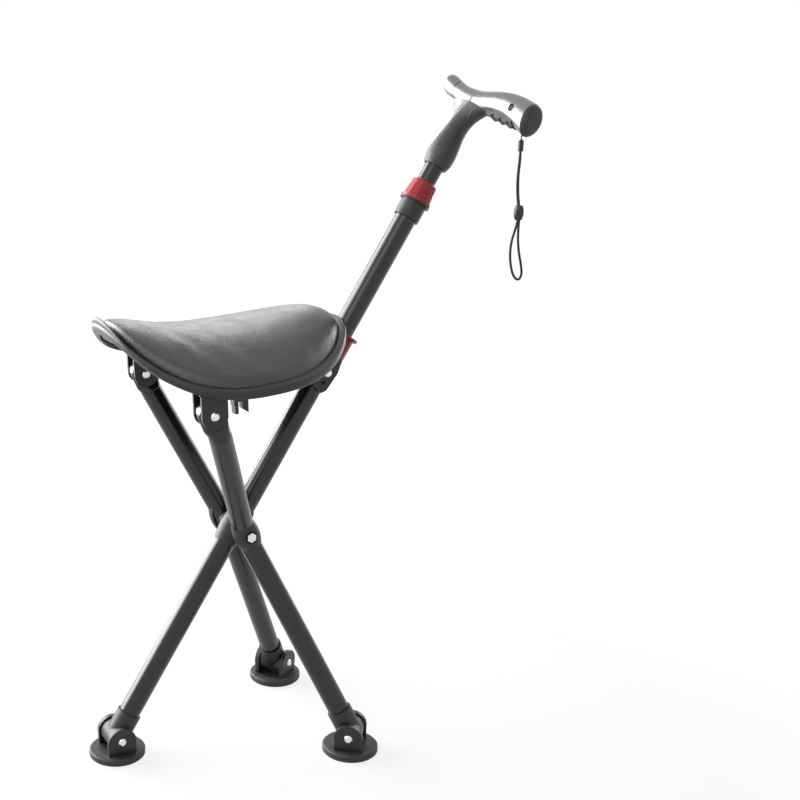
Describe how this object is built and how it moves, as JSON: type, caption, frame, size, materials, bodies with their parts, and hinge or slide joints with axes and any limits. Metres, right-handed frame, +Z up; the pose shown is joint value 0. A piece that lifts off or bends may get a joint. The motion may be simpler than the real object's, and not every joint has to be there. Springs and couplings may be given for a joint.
{
  "type": "walking stick seat",
  "caption": "Folding walking stick seat: a cane with a curved grip whose crossed legs open into a tripod under a padded saddle, with a twist lock and wrist strap.",
  "frame": {"origin": "centre of the main foot's sole, on the ground", "axes": "+Z up; +X from the main foot towards the handle, in the plane of the stick; Y sideways, with the two legs at -Y (left) and +Y (right)"},
  "size_m": [0.5035, 0.274, 0.7579],
  "materials": {
    "tube_black": "satin black powder coat",
    "fitting_black": "fine-textured black moulding",
    "sole_black": "matt black rubber",
    "red_plastic": "semi-gloss red moulding",
    "bright_steel": "bright zinc-plated steel",
    "grip_grey": "metallic dark-silver paint on plastic",
    "grip_dark": "dark grey moulding",
    "cushion_cover": "pebbled black leatherette",
    "shell_black": "satin black moulding",
    "cord_black": "twisted black cord",
    "bead_black": "black moulding"
  },
  "bodies": {
    "stick": {"main_tube": "tube_black", "hub_sleeve": "fitting_black", "pivot_bolt": "bright_steel", "bolt_nut": "bright_steel", "lock_ferrule": "fitting_black", "lock_collet": "fitting_black", "main_knuckle": "fitting_black"},
    "lock_nut": {"lock_nut": "red_plastic"},
    "handle": {"inner_tube": "tube_black", "guide_bush": "fitting_black", "handle_core": "grip_grey", "handle_nose": "grip_grey", "grip_shell": "grip_grey", "cap_screw": "fitting_black", "end_cap": "grip_dark", "finger_pad": "grip_dark", "strap_cord": "cord_black", "strap_ferrule": "bead_black", "strap_thread": "cord_black", "strap_bead": "bead_black"},
    "leg_left": {"leg_tube_left": "tube_black", "leg_pad_left": "fitting_black", "hub_washer_left": "fitting_black", "leg_knuckle_left": "fitting_black"},
    "leg_right": {"leg_tube_right": "tube_black", "leg_pad_right": "fitting_black", "hub_washer_right": "fitting_black", "leg_knuckle_right": "fitting_black"},
    "seat": {"seat_shell": "shell_black", "seat_cushion": "cushion_cover", "rear_bracket": "fitting_black", "cord_clip": "fitting_black", "side_bracket_left": "fitting_black", "side_bracket_right": "fitting_black", "leg_rivet_left": "bright_steel", "leg_rivet_right": "bright_steel", "slider_rivet_left": "bright_steel", "slider_rivet_right": "bright_steel"},
    "slider": {"slider": "red_plastic"},
    "foot_main": {"foot_clevis_main": "fitting_black", "foot_sole_main": "sole_black", "foot_pin_main": "bright_steel"},
    "foot_left": {"foot_clevis_left": "fitting_black", "foot_sole_left": "sole_black", "foot_pin_left": "bright_steel"},
    "foot_right": {"foot_clevis_right": "fitting_black", "foot_sole_right": "sole_black", "foot_pin_right": "bright_steel"}
  },
  "joints": [
    {"name": "fold", "type": "hinge", "parent": "stick", "child": "leg_left", "pos_m": [0.15198, 0, 0.26728], "axis": [0, 1, 0], "range_deg": [0, 42]},
    {"name": "leg_right_fold", "type": "hinge", "parent": "stick", "child": "leg_right", "pos_m": [0.15198, 0, 0.26728], "axis": [0, 1, 0], "range_deg": [0, 42]},
    {"name": "seat_hinge", "type": "hinge", "parent": "leg_left", "child": "seat", "pos_m": [0.08049, -0.102, 0.43247], "axis": [0, 1, 0], "range_deg": [-84, 0]},
    {"name": "slider_hinge", "type": "hinge", "parent": "seat", "child": "slider", "pos_m": [0.26033, 0, 0.44001], "axis": [0, 1, 0], "range_deg": [0, 42]},
    {"name": "handle_slide", "type": "slide", "parent": "stick", "child": "handle", "axis": [0.5314, 0, 0.8471], "range_m": [0, 0.1]},
    {"name": "lock_turn", "type": "hinge", "parent": "stick", "child": "lock_nut", "pos_m": [0.15198, 0, 0.26728], "axis": [0.5314, 0, 0.8471], "range_deg": [0, 120]},
    {"name": "foot_main_tilt", "type": "hinge", "parent": "stick", "child": "foot_main", "pos_m": [0, 0, 0.025], "axis": [0, 1, 0], "range_deg": [-20, 35]},
    {"name": "foot_left_tilt", "type": "hinge", "parent": "leg_left", "child": "foot_left", "pos_m": [0.25682, -0.104, 0.025], "axis": [0.5894, 0.8078, 0], "range_deg": [-35, 20]},
    {"name": "foot_right_tilt", "type": "hinge", "parent": "leg_right", "child": "foot_right", "pos_m": [0.25682, 0.104, 0.025], "axis": [-0.5894, 0.8078, 0], "range_deg": [-35, 20]}
  ],
  "couplings": [
    {"joint": "leg_right_fold", "follows": "fold", "ratio": 1},
    {"joint": "seat_hinge", "follows": "fold", "ratio": -2},
    {"joint": "slider_hinge", "follows": "fold", "ratio": 1}
  ]
}
